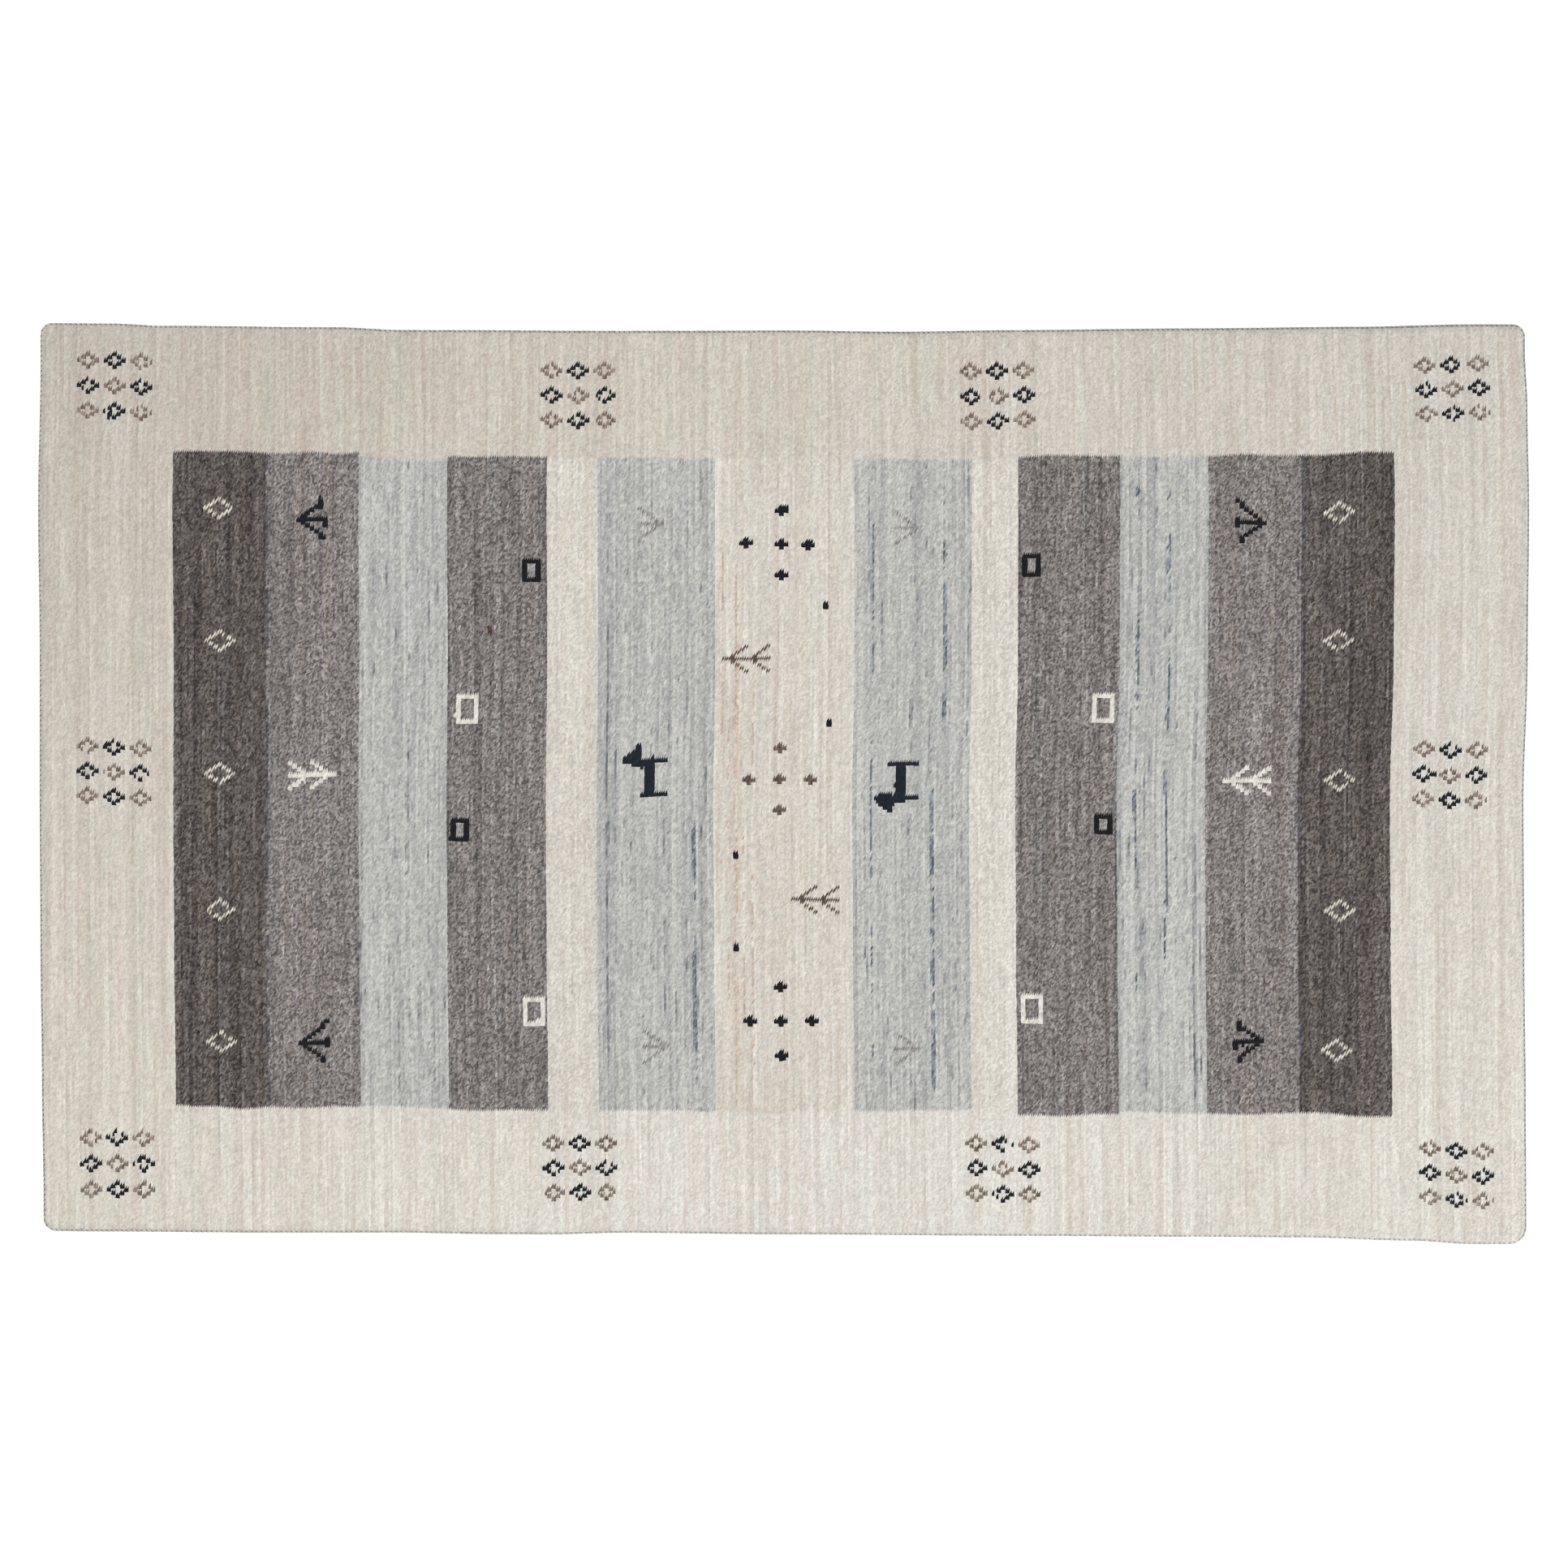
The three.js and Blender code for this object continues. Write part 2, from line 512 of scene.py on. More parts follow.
# Where the figures stand, by the row and knot of the chart's middle. A diamond group is nine small
# diamonds, three by three, this many rows and knots apart. A cross is five pluses.
DIAMOND_GROUPS = [
    (16, 273),
    (121, 272),
    (216, 272),
    (319, 272),
    (16, 148),
    (319, 149),
    (16, 21),
    (121, 21),
    (217, 21),
    (320, 22),
]
GROUP_ROWS = 6
GROUP_KNOTS = 8
WHITE_DIAMONDS = [(40, 234), (40, 191), (40, 148), (40, 104), (40, 61)]
WHITE_DIAMONDS += [(293, 233), (293, 192), (294, 147), (294, 105), (293, 60)]
FAINT_ARROWS = [(138, 230), (196, 229), (139, 60), (196, 60)]
BROWN_TREES = [(159, 186), (175, 108)]
BOXES = [(96, 170), (111, 72), (240, 170), (224, 73)]
FILLED_BOXES = [(111, 215), (95, 131), (224, 217)]
DOTS = [(177, 203), (178, 165), (157, 122), (157, 92)]
BACK_CROSS = [(167, 223), (167, 234), (159, 224), (173, 223), (167, 213)]
MIDDLE_CROSS = [(167, 147), (167, 157), (160, 147), (174, 147), (167, 137)]
FRONT_CROSS = [(167, 69), (167, 80), (160, 69), (174, 69), (167, 58)]

# The share of a figure's tufts that has sunk out of sight
SUNK_IN_GROUPS = 0.07
SUNK_IN_WHITE_DIAMONDS = 0.06

# Rows that carry a run of another yarn: the row, its first and last knot, the share that shows, and the
# yarn. A whole row is its first tufts, and a half row its second ones.
STREAKS = [
    (51, 41, 251, 0.6, "plum streak"),
    (285, 41, 251, 0.6, "plum streak"),
    (147.5, 47, 137, 0.5, "slate streak"),
    (148, 47, 137, 0.7, "slate streak"),
    (154, 120, 245, 0.35, "rose streak"),
    (155.5, 41, 190, 0.3, "rose streak"),
    (157, 41, 213, 0.6, "rose streak"),
    (157.5, 41, 213, 0.4, "rose streak"),
    (159, 41, 160, 0.35, "rose streak"),
    (161, 47, 200, 0.35, "rose streak"),
    (188, 58, 242, 0.4, "slate streak"),
    (201.5, 47, 152, 0.5, "slate streak"),
    (202, 47, 152, 0.7, "slate streak"),
    (204, 168, 238, 0.75, "slate streak"),
    (204.5, 168, 238, 0.5, "slate streak"),
    (247.5, 58, 241, 0.2, "slate streak"),
    (248, 58, 241, 0.45, "slate streak"),
    (254.5, 58, 241, 0.2, "slate streak"),
    (255, 58, 241, 0.45, "slate streak"),
]

# The border's wool is warmer and darker at the back left, and palest along the front: its shade at the
# left, the middle and the right, as shares of red, green and blue
FRONT_LOTS = [(1.04, 1.036, 1.03), (1.054, 1.066, 1.082), (1.015, 1.02, 1.026)]
BACK_LOTS = [(0.908, 0.895, 0.889), (0.983, 0.975, 0.968), (0.982, 0.98, 0.985)]

# How many knots along a row each unevenness of the wool holds: a change in the spinning, the shade of a
# row and of one of its two tufts, a dark dash, a stretch with many dashes, a tinge, and a run of another
# yarn before it sinks out of sight
SPINNING_KNOTS = 12
ROW_KNOTS = 110
HALF_ROW_KNOTS = 90
DASH_KNOTS = 4
MANY_DASHES_KNOTS = 150
TINGE_KNOTS = 200
RUN_KNOTS = 9

# The unevenness along a row stays within this many times its usual strength, either way. That from row
# to row is made weaker by the next number, and kept between the last two.
MOST_STREAK = 2
ROW_STRENGTH = 0.7
PALEST_ROW = -1.5
DEEPEST_ROW = 2

# A dash shows only where its noise is over the first number. The second is how much a stretch with many
# dashes adds to that noise.
DASH_STARTS = 1.4
MANY_DASHES_ADD = 0.8

# How patchy a tinge is along a row and from tuft to tuft, and the most that it covers
TINGE_STREAKS = 0.8
TINGE_FLECKS = 0.6
MOST_TINGE = 0.3

weaver = np.random.default_rng(41)


def along_rows(shape, knots):
    """Noise that keeps its value for about this many knots along a row."""
    keep = math.exp(-1 / knots)
    fresh = weaver.standard_normal(shape)
    for knot in range(1, shape[1]):
        fresh[:, knot] = keep * fresh[:, knot - 1] + math.sqrt(1 - keep * keep) * fresh[:, knot]
    return fresh


def tie_bands():
    """The yarn of each tuft before the figures are tied in."""
    yarn = np.full((TUFTS_ACROSS, KNOTS + 1), YARN_NAMES.index("border cream"))
    knots = np.arange(KNOTS + 1)
    ends = [band[0] for band in BANDS[1:]] + [FIELD_END]
    for (start, name, first, last), end in zip(BANDS, ends):
        in_band = (knots >= first) & (knots <= last)
        yarn[round(2 * start) : round(2 * end), in_band] = YARN_NAMES.index(name)
    return yarn


def tie_figure(yarn, chart, row, knot, colour, inside=None, mirrored=False, sunk=0):
    """Ties one charted figure into the bands, its middle on this row and knot. A share of its tufts has
    sunk out of sight."""
    lines = chart.split()
    first_row = row - len(lines[0]) // 2
    top_knot = knot + len(lines) // 2
    for down, line in enumerate(lines):
        for across, sign in enumerate(reversed(line) if mirrored else line):
            for tuft in (2 * (first_row + across), 2 * (first_row + across) + 1):
                if sign == "X" and weaver.random() >= sunk:
                    yarn[tuft, top_knot - down] = YARN_NAMES.index(colour)
                if sign == "o" and inside:
                    yarn[tuft, top_knot - down] = YARN_NAMES.index(inside)


def tie_figures(yarn):
    """All the figures of the rug."""
    for row, knot in DIAMOND_GROUPS:
        for step_row in (-1, 0, 1):
            for step_knot in (-1, 0, 1):
                colour = "navy" if abs(step_row) + abs(step_knot) == 1 else "taupe"
                place = (row + GROUP_ROWS * step_row, knot + GROUP_KNOTS * step_knot)
                tie_figure(yarn, SMALL_DIAMOND, *place, colour, sunk=SUNK_IN_GROUPS)
    for place in WHITE_DIAMONDS:
        tie_figure(yarn, DIAMOND, *place, "old white", sunk=SUNK_IN_WHITE_DIAMONDS)
    tie_figure(yarn, ARROW, 61, 231, "black")
    tie_figure(yarn, BARRED_ARROW, 61, 61, "black")
    tie_figure(yarn, BARRED_ARROW, 273, 230, "black", mirrored=True)
    tie_figure(yarn, ARROW, 273, 63, "black", mirrored=True)
    for place in FAINT_ARROWS:
        tie_figure(yarn, FAINT_ARROW, *place, "pebble grey")
    tie_figure(yarn, TREE, 61, 148, "white", mirrored=True)
    tie_figure(yarn, TREE, 273, 147, "white")
    for place in BROWN_TREES:
        tie_figure(yarn, TREE, *place, "thin brown")
    for place in BOXES:
        tie_figure(yarn, BOX, *place, "white")
    for place in FILLED_BOXES:
        tie_figure(yarn, FILLED_BOX, *place, "black", inside="pebble grey")
    tie_figure(yarn, LOW_BOX, 241, 132, "black", inside="pebble grey")
    for place in BACK_CROSS + FRONT_CROSS:
        tie_figure(yarn, PLUS, *place, "black")
    for place in MIDDLE_CROSS:
        tie_figure(yarn, PLUS, *place, "brown")
    for place in DOTS:
        tie_figure(yarn, DOT, *place, "black")
    tie_figure(yarn, SPECK, 101, 195, "russet")
    tie_figure(yarn, GRAZING_GOAT, 137, 150, "deep navy")
    tie_figure(yarn, STANDING_GOAT, 194, 145, "deep navy")


def spread_thick_wool(yarn):
    """Lets a few tufts of thick wool cover the one beside them, which makes a figure's edge uneven."""
    for name, (_, _, share) in THICK_WOOL.items():
        number = YARN_NAMES.index(name)
        tied = yarn == number
        for axis in (0, 1):
            for step in (-1, 1):
                beside = np.roll(tied, step, axis=axis) & ~tied
                yarn[beside & (weaver.random(yarn.shape) < share)] = number


def pushed_aside(yarn):
    """How far each corner of the tufts is pushed along X and Y by the thick wool round it."""
    push_x, push_y = np.zeros((2, TUFTS_ACROSS + 1, KNOTS + 1))
    inside = (slice(1, -1), slice(1, -1))
    for name, (reach_x, reach_y, _) in THICK_WOOL.items():
        filled = (yarn[:, 1:] == YARN_NAMES.index(name)).astype(float)
        left_low, left_high = filled[:-1, :-1], filled[:-1, 1:]
        right_low, right_high = filled[1:, :-1], filled[1:, 1:]
        push_x[inside] += reach_x * (left_low + left_high - right_low - right_high) / 2
        push_y[inside] += reach_y * (left_low + right_low - left_high - right_high) / 2
    return push_x, push_y


def wool_lots(shape):
    """How the border's wool changes lot by lot over the rug, as shares of red, green and blue."""
    across = np.linspace(0, 1, shape[0])
    along = np.linspace(0, 1, shape[1])[None, :, None]
    left_middle_right = (0, 0.5, 1)
    front, back = (
        np.stack([np.interp(across, left_middle_right, share) for share in zip(*lots)], axis=1)[:, None]
        for lots in (FRONT_LOTS, BACK_LOTS)
    )
    return front * (1 - along) + back * along


def dye(yarn):
    """The colour of each tuft, as red, green and blue from 0 to 255, and how fluffy it is."""
    shape = yarn.shape
    fleck = weaver.standard_normal(shape)
    streak = along_rows(shape, SPINNING_KNOTS).clip(-MOST_STREAK, MOST_STREAK)
    row = np.repeat(along_rows((ROWS, shape[1]), ROW_KNOTS), 2, axis=0) + along_rows(shape, HALF_ROW_KNOTS)
    row = (ROW_STRENGTH * row).clip(PALEST_ROW, DEEPEST_ROW)
    dash = along_rows(shape, DASH_KNOTS) + MANY_DASHES_ADD * along_rows(shape, MANY_DASHES_KNOTS)
    dash = np.maximum(dash - DASH_STARTS, 0)
    tinge = np.repeat(along_rows((ROWS, shape[1]), TINGE_KNOTS), 2, axis=0)
    tinge = tinge + TINGE_STREAKS * along_rows(shape, SPINNING_KNOTS)
    tinge = tinge + TINGE_FLECKS * weaver.standard_normal(shape)
    colour = np.zeros(shape + (3,))
    fluff = np.zeros(shape)
    for number, spun in enumerate(YARNS.values()):
        here = yarn == number
        uneven = spun.fleck * fleck + spun.streak * streak + spun.row * row + spun.dash * dash
        deep = np.clip(spun.deep_share + uneven, 0, 1)[..., None]
        tinged = np.clip(spun.tinge_share * tinge, 0, MOST_TINGE)[..., None]
        mixed = np.array(spun.pale) * (1 - deep) + np.array(spun.deep) * deep
        mixed = mixed + tinged * (np.array(spun.tinge) - mixed)
        if YARN_NAMES[number] == "border cream":
            mixed = mixed * wool_lots(shape)
        colour[here] = mixed[here]
        fluff[here] = spun.fluff
    return colour, fluff


def linear(colour):
    """Screen colours from 0 to 255 as the linear values that materials take, by the usual sRGB curve."""
    share = np.clip(np.asarray(colour, float) / 255, 0, 1)
    return np.where(share <= 0.04045, share / 12.92, ((share + 0.055) / 1.055) ** 2.4)


# Under the soft light, wool with this share of a colour's brightness shows as that colour
DYE_STRENGTH = 0.65

yarn_of_tuft = tie_bands()
shown = along_rows((ROWS, KNOTS + 1), RUN_KNOTS)
for streak_row, first_knot, last_knot, share, streak_yarn in STREAKS:
    shown_here = shown[round(streak_row)]
    run = shown_here[first_knot : last_knot + 1] > np.quantile(shown_here, 1 - share)
    knots_of_run = np.flatnonzero(run) + first_knot
    yarn_of_tuft[round(2 * streak_row), knots_of_run] = YARN_NAMES.index(streak_yarn)
tie_figures(yarn_of_tuft)
spread_thick_wool(yarn_of_tuft)
dyed, tuft_fluff = dye(yarn_of_tuft)
wool = np.concatenate([linear(dyed) * DYE_STRENGTH, tuft_fluff[..., None]], axis=-1)


class Wire:
    """One socket in a material's nodes. Arithmetic on wires adds Math nodes."""

    def __init__(self, tree, socket=None):
        self.tree = tree
        self.socket = socket

    def node(self, kind, settings, sockets, output=0):
        """Adds a node, sets it up, fills or links its sockets, and gives one of its outputs."""
        added = self.tree.nodes.new(kind)
        for name, value in settings.items():
            setattr(added, name, value)
        for name, value in sockets.items():
            if isinstance(value, Wire):
                self.tree.links.new(value.socket, added.inputs[name])
            else:
                added.inputs[name].default_value = value
        return Wire(self.tree, added.outputs[output] if added.outputs else None)

    def math(self, operation, *values):
        return self.node("ShaderNodeMath", {"operation": operation}, dict(enumerate(values)))

    def __add__(self, other):
        return self.math("ADD", self, other)

    def __radd__(self, other):
        return self.math("ADD", other, self)

    def __sub__(self, other):
        return self.math("SUBTRACT", self, other)

    def __rsub__(self, other):
        return self.math("SUBTRACT", other, self)

    def __mul__(self, other):
        return self.math("MULTIPLY", self, other)

    def __rmul__(self, other):
        return self.math("MULTIPLY", other, self)


def new_material(name):
    """An empty material, and the wire that its nodes are added from."""
    material = bpy.data.materials.new(name)
    material.use_nodes = True
    material.node_tree.nodes.clear()
    return material, Wire(material.node_tree)


def shaded(wire, colour, factor):
    """A colour made darker or paler all over by a factor."""
    grey = wire.node("ShaderNodeCombineXYZ", {}, {"X": factor, "Y": factor, "Z": factor})
    return wire.node("ShaderNodeVectorMath", {"operation": "MULTIPLY"}, {0: colour, 1: grey})


# A mix node has sockets of one name for several kinds of value, so its colour ones go by number
MIX_COLOUR_A = 6
MIX_COLOUR_B = 7
MIX_RESULT_COLOUR = 2

# The weft: its colour, how low the ridge of a row is where it starts to show, how fast it comes out from
# there, how much of it shows at most, and how softly it gets to that
WEFT_COLOUR = (176, 168, 156)
WEFT_HEIGHT = 0.45
WEFT_SLOPE = 2
MOST_WEFT = 0.7
WEFT_SOFTNESS = 0.1

# The relief of the back: the ridge of each row, the nodes on it, and the fibres. Then its shade, and what
# the fibres add to it.
ROW_RIDGE = 0.6
NODE_RIDGE = 0.4
FIBRE_RIDGE = 0.3
BACK_SHADE = 0.72
BACK_FIBRE_SHADE = 0.36


def make_ground_material():
    """Back of the knots in their own wool, with the grey weft just showing between the rows."""
    material, wire = new_material("ground weave")
    weft_colour = (*linear(WEFT_COLOUR), 1)
    knot_colour = wire.node("ShaderNodeVertexColor", {"layer_name": "yarn"}, {})
    loom = wire.node("ShaderNodeAttribute", {"attribute_name": "loom"}, {}, "Vector")
    rows = wire.node("ShaderNodeSeparateXYZ", {}, {"Vector": loom}, "X")
    knots = wire.node("ShaderNodeSeparateXYZ", {}, {"Vector": loom}, "Y")
    ridge = wire.math("ABSOLUTE", wire.math("SINE", rows * math.pi))
    node = wire.math("ABSOLUTE", wire.math("SINE", knots * (2 * math.pi)))
    weft_bare = wire.math("MAXIMUM", WEFT_HEIGHT - ridge, 0) * WEFT_SLOPE
    weft_shows = wire.math("SMOOTH_MIN", weft_bare, MOST_WEFT, WEFT_SOFTNESS)
    place = wire.node("ShaderNodeTexCoord", {}, {}, "Object")
    fibre = wire.node("ShaderNodeTexNoise", {}, {"Vector": place, "Scale": 900, "Detail": 3}, "Fac")
    mixed = wire.node(
        "ShaderNodeMix",
        {"data_type": "RGBA"},
        {"Factor": weft_shows, MIX_COLOUR_A: knot_colour, MIX_COLOUR_B: weft_colour},
        MIX_RESULT_COLOUR,
    )
    relief = ridge * ROW_RIDGE + ridge * node * NODE_RIDGE + fibre * FIBRE_RIDGE
    bump = wire.node("ShaderNodeBump", {}, {"Strength": 0.9, "Distance": 0.0006, "Height": relief})
    surface = wire.node(
        "ShaderNodeBsdfPrincipled",
        {},
        {
            "Base Color": shaded(wire, mixed, BACK_SHADE + fibre * BACK_FIBRE_SHADE),
            "Roughness": 0.95,
            "Specular IOR Level": 0.2,
            "Normal": bump,
        },
    )
    wire.node("ShaderNodeOutputMaterial", {}, {"Surface": surface})
    return material


def make_piece(name, points, triangles, material, colours, flat_map=None, loom=None):
    """A mesh piece from points in millimetres. Each triangle has its colour and, as a fourth number, its
    fluffiness; each point may have a place on a flat map and on the loom."""
    mesh = bpy.data.meshes.new(name)
    mesh.vertices.add(len(points))
    mesh.vertices.foreach_set("co", (np.asarray(points) * METRES).ravel())
    mesh.loops.add(3 * len(triangles))
    mesh.loops.foreach_set("vertex_index", triangles.ravel().astype(np.int32))
    mesh.polygons.add(len(triangles))
    mesh.polygons.foreach_set("loop_start", np.arange(0, 3 * len(triangles), 3, dtype=np.int32))
    mesh.update(calc_edges=True)
    mesh.polygons.foreach_set("use_smooth", np.ones(len(triangles), dtype=bool))
    layer = mesh.color_attributes.new(name="yarn", type="FLOAT_COLOR", domain="CORNER")
    layer.data.foreach_set("color", np.repeat(colours, 3, axis=0).ravel())
    if flat_map is not None:
        layer = mesh.uv_layers.new(name="OFBake")
        layer.data.foreach_set("uv", flat_map[triangles.ravel()].ravel())
    if loom is not None:
        layer = mesh.attributes.new(name="loom", type="FLOAT_VECTOR", domain="POINT")
        layer.data.foreach_set("vector", loom.ravel())
    mesh.materials.append(material)
    piece = bpy.data.objects.new(name, mesh)
    bpy.context.collection.objects.link(piece)
    return piece


MAP_MARGIN = 0.01


def fit_map(flat):
    """A flat map stretched to fill the square from 0 to 1, with a thin margin."""
    low = flat.min(axis=0)
    high = flat.max(axis=0)
    return MAP_MARGIN + (1 - 2 * MAP_MARGIN) * (flat - low) / (high - low)


def grid_squares(columns, lines):
    """The four corner numbers of each square of a grid of points, numbered line by line."""
    column, line = np.meshgrid(np.arange(columns - 1), np.arange(lines - 1), indexing="ij")
    low_left = (column * lines + line).ravel()
    return low_left, low_left + lines, low_left + lines + 1, low_left + 1


# How far inside the rug's edge the ground stops, how high its wall is, how wide the wall lies on the
# flat map, and how uneven the back is
GROUND_INSET = 6.3
WALL_HEIGHT = 5.2
WALL_MARGIN = 8
GROUND_VARIES = 0.15


def make_ground():
    """The flat back of the cloth, knot by knot, and its low wall beside the cords."""
    across = np.linspace(-LENGTH / 2 + GROUND_INSET, LENGTH / 2 - GROUND_INSET, ROWS + 1)
    along = np.linspace(-WIDTH / 2 + GROUND_INSET, WIDTH / 2 - GROUND_INSET, KNOTS + 1)
    x, y = (part.ravel() for part in np.meshgrid(across, along, indexing="ij"))
    real_x, real_y = on_rug(x, y)
    sag = GROUND_VARIES * weaver.random(len(x))
    points = np.stack([real_x, real_y, sag], axis=1)
    low_left, low_right, high_right, high_left = grid_squares(ROWS + 1, KNOTS + 1)
    back_faces = np.concatenate(
        [np.stack([low_left, high_right, low_right], 1), np.stack([low_left, high_left, high_right], 1)]
    )
    (rim,) = rim_chains(ROWS + 1, KNOTS + 1, has_left=True, has_right=True)
    wall = points[rim].copy()
    wall[:, 2] = WALL_HEIGHT
    wall_top = len(points) + np.arange(len(rim))
    wall_faces = band_faces(rim[:-1], rim[1:], wall_top[:-1], wall_top[1:])
    squares = np.stack([x[low_left], y[low_left]], axis=1)
    tuft = ((squares[:, 0] + LENGTH / 2 - PILE_INSET) / TUFT_WIDTH).astype(int) + 1
    knot = np.rint((squares[:, 1] + WIDTH / 2 - PILE_INSET) / KNOT_PITCH + 0.5).astype(int)
    square_colour = wool[tuft.clip(0, TUFTS_ACROSS - 1), knot.clip(0, KNOTS)]
    wall_colour = np.tile(wool[0, 0], (len(wall_faces), 1))
    flat = np.stack([x, y], axis=1)
    outward = 1 + WALL_MARGIN / np.array([LENGTH / 2, WIDTH / 2])
    loom_row = (x - across[0]) / (across[1] - across[0])
    loom_knot = (y - along[0]) / (along[1] - along[0])
    loom = np.stack([loom_row, loom_knot, np.zeros_like(x)], axis=1)
    return make_piece(
        "ground_weave",
        np.concatenate([points, wall]),
        np.concatenate([back_faces, wall_faces]),
        make_ground_material(),
        colours=np.concatenate([square_colour, square_colour, wall_colour]),
        flat_map=fit_map(np.concatenate([flat, flat[rim] * outward])),
        loom=np.concatenate([loom, loom[rim]]),
    )


def rim_chains(columns, lines, has_left, has_right):
    """Point numbers along a grid's free edges, anticlockwise. Front and back are always free, and a chain
    runs on round each end that is free too."""
    front = np.arange(columns) * lines
    back = front[::-1] + lines - 1
    right = front[-1] + np.arange(lines)
    left = np.arange(lines)[::-1]
    if has_left and has_right:
        return [np.concatenate([front, right[1:], back[1:], left[1:]])]
    if has_left:
        return [np.concatenate([back, left[1:], front[1:]])]
    if has_right:
        return [np.concatenate([front, right[1:], back[1:]])]
    return [front, back]


def band_faces(low_from, low_to, top_from, top_to):
    """Triangles of an upright band, facing outward when the band runs anticlockwise."""
    return np.concatenate(
        [np.stack([low_from, low_to, top_to], 1), np.stack([low_from, top_to, top_from], 1)]
    )


ground = make_ground()
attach(ground, "root")
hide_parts("pile_and_ground")


# Pile
# Knotted wool, clipped to about seven millimetres over the ground. Each tuft leans towards the back
# of the rug, so a knot shows as two slanting flecks, and a figure's ends look like saw teeth. It is
# made in three lengths along X, which meet edge to edge, because one mesh of it would be too heavy.
PILE_PARTS = [("pile_left", 0, 112), ("pile_middle", 112, 224), ("pile_right", 224, ROWS)]

# The pile near its edge, by how far in from the rug's edge and how high: first over the top, and then
# back under to the ground's wall
PILE_SECTION = [(PILE_INSET, 9.2), (4.0, 10.8), (6.5, 11.7), (10.0, 12.0)]
UNDER_SECTION = [(2.8, 8.4), (3.2, 7.6), (4.9, 6.7), (GROUND_INSET, WALL_HEIGHT)]

# How unevenly the tufts stand after the shears, up and sideways, and how ragged the pile's side is
TUFT_HEIGHT_VARIES = 0.24
TUFT_PLACE_VARIES = 0.3
SIDE_VARIES = 0.2

# The wisps of wool in a tuft: which way they slant, their size, and how far their shades differ
FIBRE_LEAN = math.radians(56)
WISP_LENGTH = 2.2
WISP_WIDTH = 1.5
WISP_CONTRAST = 1.3

# The hairs in a wisp: how many there are in a millimetre along it and across it, their relief beside
# that of the wisp, the wool's shade between them, and what they add to it
HAIR_SCALE = (0.3, 2, 1)
HAIR_RELIEF = 0.6
PILE_SHADE = 0.85
HAIR_SHADE = 0.3


def make_pile_material():
    """Wool pile: the tuft's own colour, broken up into slanting wisps and fibres, soft and quite matt."""
    material, wire = new_material("wool pile")
    tuft = wire.node("ShaderNodeVertexColor", {"layer_name": "yarn"}, {})
    fluff = wire.node("ShaderNodeVertexColor", {"layer_name": "yarn"}, {}, "Alpha")
    place = wire.node("ShaderNodeTexCoord", {}, {}, "Object")
    x = wire.node("ShaderNodeSeparateXYZ", {}, {"Vector": place}, "X")
    y = wire.node("ShaderNodeSeparateXYZ", {}, {"Vector": place}, "Y")
    along = x * math.cos(FIBRE_LEAN) + y * math.sin(FIBRE_LEAN)
    across = y * math.cos(FIBRE_LEAN) - x * math.sin(FIBRE_LEAN)
    combed = wire.node("ShaderNodeCombineXYZ", {}, {"X": along * (1 / METRES), "Y": across * (1 / METRES)})
    wisp_scale = (1 / WISP_LENGTH, 1 / WISP_WIDTH, 1)
    wisps = wire.node("ShaderNodeMapping", {}, {"Vector": combed, "Scale": wisp_scale})
    flat = {"voronoi_dimensions": "2D"}
    wisp_colour = wire.node("ShaderNodeTexVoronoi", flat, {"Vector": wisps, "Scale": 1}, "Color")
    wisp_round = wire.node("ShaderNodeTexVoronoi", flat, {"Vector": wisps, "Scale": 1}, "Distance")
    wisp = wire.node("ShaderNodeSeparateXYZ", {}, {"Vector": wisp_colour}, "X")
    hairs = wire.node("ShaderNodeMapping", {}, {"Vector": combed, "Scale": HAIR_SCALE})
    fibre = wire.node("ShaderNodeTexNoise", {}, {"Vector": hairs, "Scale": 1, "Detail": 2}, "Fac")
    relief = fibre * HAIR_RELIEF - wisp_round
    bump = wire.node("ShaderNodeBump", {}, {"Strength": 0.6, "Distance": 0.0006, "Height": relief})
    shade = (1 + fluff * (wisp - 0.5) * WISP_CONTRAST) * (PILE_SHADE + fibre * HAIR_SHADE)
    surface = wire.node(
        "ShaderNodeBsdfPrincipled",
        {},
        {
            "Base Color": shaded(wire, tuft, shade),
            "Roughness": 0.95,
            "Specular IOR Level": 0.15,
            "Sheen Weight": 0.12,
            "Sheen Roughness": 0.5,
            "Normal": bump,
        },
    )
    wire.node("ShaderNodeOutputMaterial", {}, {"Surface": surface})
    return material


def wool_of_halves():
    """The wool of the lower right and of the upper left half of each square of the pile's grid. A tuft is
    the upper half of one square and the lower half of the next, and thick wool fills its first square."""
    thick = np.isin(yarn_of_tuft, [YARN_NAMES.index(name) for name in THICK_WOOL])
    covered = thick[:, 1:] & ~thick[:, :-1]
    return np.where(covered[..., None], wool[:, 1:], wool[:, :-1]), wool[:, 1:]


